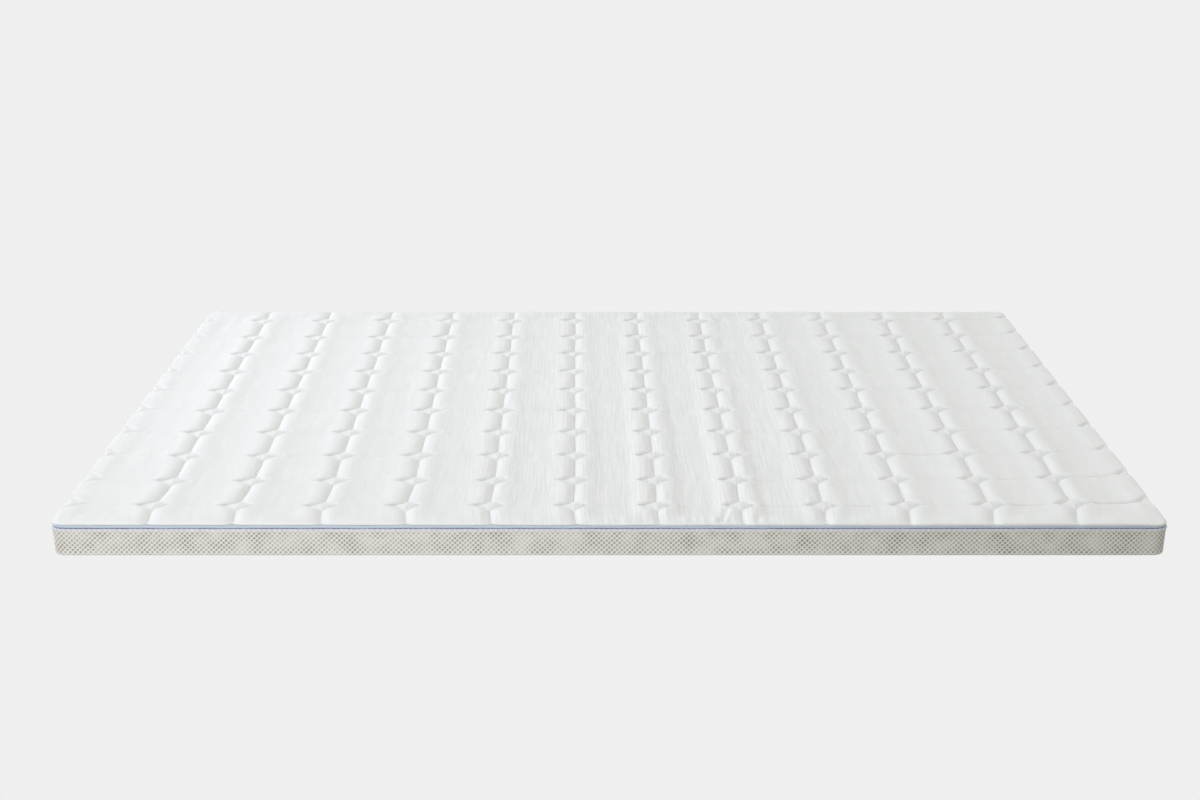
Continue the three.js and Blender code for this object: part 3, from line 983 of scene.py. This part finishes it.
def white_jacquard_knit():
    """Polyester jacquard knit: matt, a little cool, with fine ribs and a soft nap at grazing angles."""
    material, tree, shader = new_finish("white_jacquard_knit")
    place = add(tree, "UVMap", uv_map="Cloth")
    along = add(tree, "SeparateXYZ", {"Vector": place})
    off = add(tree, "Math", {0: along, 1: -RIBBED_MIDDLE}, operation="ADD")
    off = add(tree, "Math", {0: off}, operation="ABSOLUTE")
    ribbed = add(tree, "MapRange", {"Value": off, **RIBBED_FADE}, interpolation_type="SMOOTHSTEP")
    ribs = patches(tree, place, RIB_WIDTH, RIB_LENGTH, 3.0)
    sharp = add(tree, "MapRange", {"Value": ribs, **RIB_EDGES})
    sharp = add(tree, "Math", {0: sharp, 1: -0.5}, operation="ADD")
    sharp = add(tree, "Math", {0: sharp, 1: ribbed}, operation="MULTIPLY")
    laddered = patches(tree, place, LADDER_WIDTH, LADDER_LENGTH, 1.0)
    ladder = add(tree, "MapRange", {"Value": laddered, **LADDER_EDGES})
    rungs = add(tree, "TexWave", {"Vector": place, "Scale": band_scale(RUNG_PITCH)}, bands_direction="Y")
    ladder = add(tree, "Math", {0: ladder, 1: rungs.outputs["Fac"]}, operation="MULTIPLY")
    loops = add(tree, "TexVoronoi", {"Vector": place, "Scale": 1 / LOOP_SIZE})
    height = add(tree, "Math", {0: loops, 1: LOOP_SHARE}, operation="MULTIPLY")
    height = add(tree, "Math", {0: sharp, 1: height}, operation="ADD")
    height = add(tree, "Math", {0: ladder, 1: height}, operation="ADD")
    folds = patches(tree, place, FOLD_WIDTH, FOLD_LENGTH, 1.0)
    loose = add(tree, "Bump", {"Height": folds, "Distance": FOLD_DEPTH, "Strength": 0.6})
    bump = add(tree, "Bump", {"Height": height, "Distance": KNIT_DEPTH, "Strength": 0.6, "Normal": loose})
    tone = add(tree, "Math", {0: sharp, 1: 0.5}, operation="ADD")
    tone = add(tree, "Math", {0: ladder, 1: tone}, operation="ADD")
    shades = {"A": paint("#EEEFEF"), "B": paint("#F6F7F6")}
    shade = add(tree, "Mix", {"Factor": tone, **shades}, data_type="RGBA")
    finish_with(tree, shader, shade, bump, Roughness=0.9, Sheen_Weight=0.1, Sheen_Roughness=0.5,
                Specular_IOR_Level=0.2)
    return material


def blue_satin_piping():
    """Satin bias binding over cord: pale blue, a soft shine, and slanting threads, drawn coarse to show."""
    thread_pitch = 1.428 * MM
    thread_slant = 0.7
    material, tree, shader = new_finish("blue_satin_piping")
    place = add(tree, "UVMap", uv_map="Cloth")
    slanted = add(tree, "Mapping", {"Vector": place, "Rotation": (0, 0, thread_slant)})
    threads = add(tree, "TexWave", {"Vector": slanted, "Scale": band_scale(thread_pitch)}).outputs["Fac"]
    bump = add(tree, "Bump", {"Height": threads, "Distance": 0.2 * MM, "Strength": 0.5})
    shades = {"A": paint("#C4D3E2"), "B": paint("#DAE6F0")}
    shade = add(tree, "Mix", {"Factor": threads, **shades}, data_type="RGBA")
    finish_with(tree, shader, shade, bump, Roughness=0.5, Sheen_Weight=0.2)
    return material


# The mesh's patterns and shades, as (hollow, colour): the pale threads, the beige pile, and painted shade
# deep in the holes. Its filaments are too fine to show, so their grain is drawn coarser. Its upper edge is
# in shadow under the piping, and pale below that where it is bound
DARK_PATCH = 41.67 * MM
DARK_PATCH_RANGE = {"From Min": 0.3, "From Max": 0.7, "To Min": 0.72, "To Max": 1.2}
FILAMENT_SIZE = 1.1111 * MM
FILAMENT_DEPTH = 0.3 * MM
SHADOW_EDGE = {"From Min": 0.8 * MM, "From Max": 1.8 * MM}
BINDING_EDGE = {"From Min": BINDING_DEPTH - 0.6 * MM, "From Max": BINDING_DEPTH}
MESH_TONES_AND_HOLE_SHADE = [(0.05, "#F8F7F3"), (0.5, "#E2DFD2"), (0.95, "#8B887B")]


def beige_spacer_mesh():
    """Polyester spacer mesh: pale threads over a beige pile, and painted shade that darkens it down in its
    holes.
    """
    material, tree, shader = new_finish("beige_spacer_mesh")
    hollow = add(tree, "Attribute", attribute_name="hollow").outputs["Fac"]
    place = add(tree, "UVMap", uv_map="Cloth")
    # Patches at random where the painted shade in the holes is lighter or darker
    noise = add(tree, "TexNoise", {"Vector": place, "Scale": 1 / DARK_PATCH, "Detail": 2.0})
    patchy = add(tree, "MapRange", {"Value": noise, **DARK_PATCH_RANGE})
    hollow = add(tree, "Math", {0: hollow, 1: patchy}, operation="MULTIPLY")
    # The threads' and pile's own colours, darkened by painted shade the more hollow a place is
    depth = add(tree, "ValToRGB", {"Fac": hollow})
    stops = depth.color_ramp.elements
    stops.new(MESH_TONES_AND_HOLE_SHADE[1][0])
    for stop, (at, colour) in zip(stops, MESH_TONES_AND_HOLE_SHADE, strict=True):
        stop.position = at
        stop.color = paint(colour)
    fine = add(tree, "TexNoise", {"Vector": place, "Scale": 1 / FILAMENT_SIZE, "Detail": 2.0})
    bump = add(tree, "Bump", {"Height": fine, "Distance": FILAMENT_DEPTH, "Strength": 0.5})
    down = add(tree, "SeparateXYZ", {"Vector": place}).outputs["Y"]
    below = add(tree, "MapRange", {"Value": down, **BINDING_EDGE})
    lit = add(tree, "MapRange", {"Value": down, **SHADOW_EDGE})
    strip = add(tree, "Mix", {"Factor": lit, "A": paint("#BCC0D8"), "B": paint("#F1F2F8")}, data_type="RGBA")
    shade = add(tree, "Mix", {"Factor": below, "A": strip.outputs["Result"], "B": depth}, data_type="RGBA")
    finish_with(tree, shader, shade, bump, Roughness=0.85, Specular_IOR_Level=0.25)
    return material


# Plain finishes, with the size and depth of their grain: twisted filaments, a fine knit, and open foam cells
Plain = namedtuple("Plain", "colour grain depth roughness")
PLAIN_FINISHES = {
    "white_polyester_thread": Plain("#F4F4F6", 0.4 * MM, 0.1 * MM, 0.6),
    "pale_lilac_thread": Plain("#FFFFFF", 0.4 * MM, 0.1 * MM, 0.6),
    "plain_base_knit": Plain("#E4E2DD", 0.8333 * MM, 0.3 * MM, 0.9),
    "cream_foam": Plain("#EFE8D4", 2 * MM, 0.4 * MM, 0.95),
}
# How dark the painted shade makes the hollows of the grain
HOLLOW_SHADE = 0.93


def plain_finish(name):
    """A cloth, thread or foam of one colour, with an even grain whose hollows take a little painted shade.
    """
    plain = PLAIN_FINISHES[name]
    colour = paint(plain.colour)
    material, tree, shader = new_finish(name)
    place = add(tree, "TexCoord").outputs["Object"]
    grain = add(tree, "TexNoise", {"Vector": place, "Scale": 1 / plain.grain, "Detail": 2.0})
    bump = add(tree, "Bump", {"Height": grain, "Distance": plain.depth, "Strength": 0.6})
    # Painted shade: where the grain is low, in the hollows of its bump, the colour is darker
    darker = (*(HOLLOW_SHADE * c for c in colour[:3]), 1.0)
    shade = add(tree, "Mix", {"Factor": grain, "A": darker, "B": colour}, data_type="RGBA")
    finish_with(tree, shader, shade, bump, Roughness=plain.roughness)
    return material


# Base panel and mattress, two slabs with rounded edges
SLAB_STATIONS = 160
TURN_STEPS = 6
BASE_ROUND_OVER = 0.8 * MM
FOAM_ROUND_OVER = 1.5 * MM


def base_panel(material):
    """The plain panel that closes the underside."""
    low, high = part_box("base_panel")
    inset = LENGTH / 2 - high.x
    profile = [
        (inset + BASE_ROUND_OVER, low.z),
        (inset, low.z + BASE_ROUND_OVER),
        (inset, high.z - BASE_ROUND_OVER),
        (inset + BASE_ROUND_OVER, high.z),
    ]
    return slab("base_cloth", profile, material)


def mattress_foam(material):
    """The foam slab, its lower edge rounded to lie inside the border's turn."""
    low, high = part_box("mattress")
    inset = LENGTH / 2 - high.x
    turn = TURN_RADIUS - MESH_THICKNESS
    profile = []
    for step in range(TURN_STEPS + 1):
        angle = math.pi / 2 * step / TURN_STEPS
        height = low.z + turn * (1 - math.cos(angle))
        profile.append((inset + BORDER_LEAN + turn * (1 - math.sin(angle)), height))
    profile += [(inset, high.z - FOAM_ROUND_OVER), (inset + FOAM_ROUND_OVER, high.z)]
    return slab("mattress_foam", profile, material)


# Assembly

top = quilted_top(white_jacquard_knit())
stitching = quilting_thread(plain_finish("white_polyester_thread"))
cord = piping(blue_satin_piping())
border = mesh_border(beige_spacer_mesh())
binding = overlock(plain_finish("pale_lilac_thread"))
base = base_panel(plain_finish("plain_base_knit"))
core = mattress_foam(plain_finish("cream_foam"))

for made, node, slot in (
    (top, "quilted_top", "white_knit"),
    (cord, "piping", "blue_piping"),
    (border, "mesh_border", "spacer_mesh"),
    (base, "base_panel", "base_cloth"),
    (core, "mattress", "foam"),
):
    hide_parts(node)

# Camera: worked out from all the diamonds in the photograph, whose frame is 1200 pixels wide

FRAME_WIDTH = 1200
SENSOR_WIDTH = 36
FOCAL_PIXELS = 2067.6
CAMERA_PLACE = (-0.0165, -4.2822, GROOVE_HEIGHT + 1.2424)
PITCH_DOWN = math.radians(16.119)


def add_camera():
    """The photograph's camera."""
    data = bpy.data.cameras.new("camera")
    data.sensor_width = SENSOR_WIDTH
    data.lens = FOCAL_PIXELS / FRAME_WIDTH * SENSOR_WIDTH
    camera = new_object("camera", data)
    camera.location = CAMERA_PLACE
    camera.rotation_euler = (math.pi / 2 - PITCH_DOWN, 0, 0)
    bpy.context.scene.camera = camera


# Studio: a plain pale floor that runs into the backdrop, and soft light mostly from the left and behind

BACKDROP = "#EFEFEF"
LIGHT_BY_HEIGHT = {"From Min": -0.1, "From Max": 0.1, "To Min": 0.28, "To Max": 0.72}
BRIGHTER_BEHIND = 0.4
FLOOR_DROP = 0.2 * MM


def empty_tree(owner):
    """The node tree of a material or world, emptied."""
    owner.use_nodes = True
    owner.node_tree.nodes.clear()
    return owner.node_tree


def add_floor():
    """A floor that glows like the backdrop but gives the cover no light, and lies just under it."""
    far = 30
    corners = [(-far, -far, 0), (far, -far, 0), (far, far, 0), (-far, far, 0)]
    mesh = bpy.data.meshes.new("floor")
    mesh.from_pydata(corners, [], [(0, 1, 2, 3)])
    material = bpy.data.materials.new("pale_studio_floor")
    tree = empty_tree(material)
    glow = add(tree, "Emission", {"Color": paint(BACKDROP), "Strength": 1.0})
    add(tree, "OutputMaterial", {"Surface": glow})
    mesh.materials.append(material)
    floor = new_object("floor", mesh)
    floor.location.z = -FLOOR_DROP
    floor.visible_diffuse = False


def add_backdrop():
    """Soft light from all round, stronger from above and behind, and an even backdrop for the camera."""
    world = bpy.data.worlds.new("studio")
    bpy.context.scene.world = world
    tree = empty_tree(world)
    seen = add(tree, "Background", {"Color": paint(BACKDROP), "Strength": 1.0})
    direction = add(tree, "TexCoord").outputs["Generated"]
    towards = add(tree, "SeparateXYZ", {"Vector": direction}).outputs
    upward = add(tree, "MapRange", {"Value": towards["Z"], **LIGHT_BY_HEIGHT})
    behind = add(tree, "Math", {0: towards["Y"], 1: BRIGHTER_BEHIND, 2: 1.0}, operation="MULTIPLY_ADD")
    strength = add(tree, "Math", {0: upward, 1: behind}, operation="MULTIPLY")
    light = add(tree, "Background", {"Color": paint("#FFFFFB"), "Strength": strength})
    is_seen = add(tree, "LightPath").outputs["Is Camera Ray"]
    both = add(tree, "MixShader", {0: is_seen, 1: light, 2: seen})
    add(tree, "OutputWorld", {"Surface": both})


def add_light(name, place, target, size, power, colour, spread):
    """A soft rectangular light, turned to a target, with its spread in degrees."""
    data = bpy.data.lights.new(name, "AREA")
    data.shape = "RECTANGLE"
    data.size, data.size_y = size
    data.energy = power
    data.color = paint(colour)[:3]
    data.spread = math.radians(spread)
    light = new_object(name, data)
    light.location = place
    light.rotation_euler = (Vector(target) - Vector(place)).to_track_quat("-Z", "Y").to_euler()


add_camera()
add_floor()
add_backdrop()
add_light("key", place=(-4.4, 1.1, 2.1), target=(-0.8, 0.1, 0), size=(2.2, 2.2), power=25, colour="#EBF0FF",
          spread=80)
add_light("front_strip", place=(-0.75, -2.5, 0.15), target=(-0.6, -0.8, 0.03), size=(2.2, 0.25), power=13,
          colour="#F9F9FF", spread=150)
bpy.context.scene.view_settings.view_transform = "Standard"
